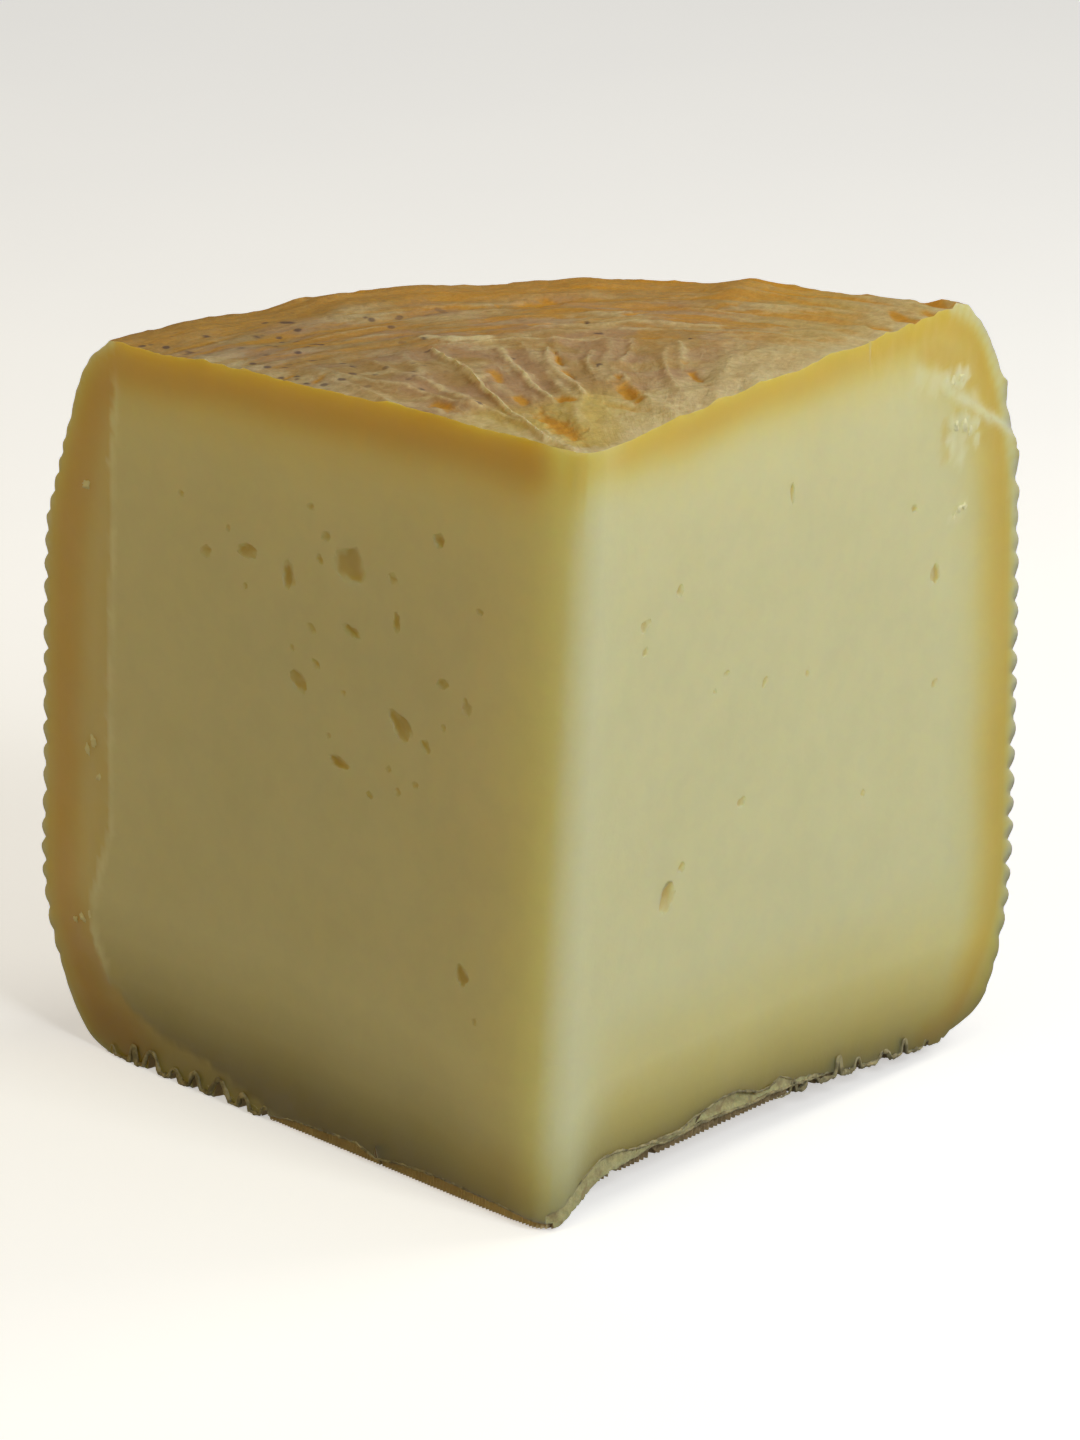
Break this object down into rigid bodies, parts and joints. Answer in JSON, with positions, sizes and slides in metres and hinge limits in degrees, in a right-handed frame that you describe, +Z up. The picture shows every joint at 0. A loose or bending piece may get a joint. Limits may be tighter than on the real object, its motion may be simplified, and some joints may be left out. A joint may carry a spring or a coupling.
{
  "type": "pecorino cheese wedge",
  "caption": "Cut wedge of firm pecorino with smooth cut faces, small eyes, a wrinkled top rind and a ribbed side; it stands on its flat underside.",
  "frame": {"origin": "under the middle of the wedge's box, on the surface that it stands on", "axes": "+Z up; the cut tip points to -Y, the rind side bulges to +Y, and +X is to the right seen from the tip"},
  "size_m": [0.1209, 0.0942, 0.097],
  "materials": {
    "cheese": "dense ivory to straw cheese, amber near the ochre wrinkled rind, slightly waxy"
  },
  "bodies": {
    "root": {"pecorino_wedge": "cheese"}
  },
  "joints": []
}
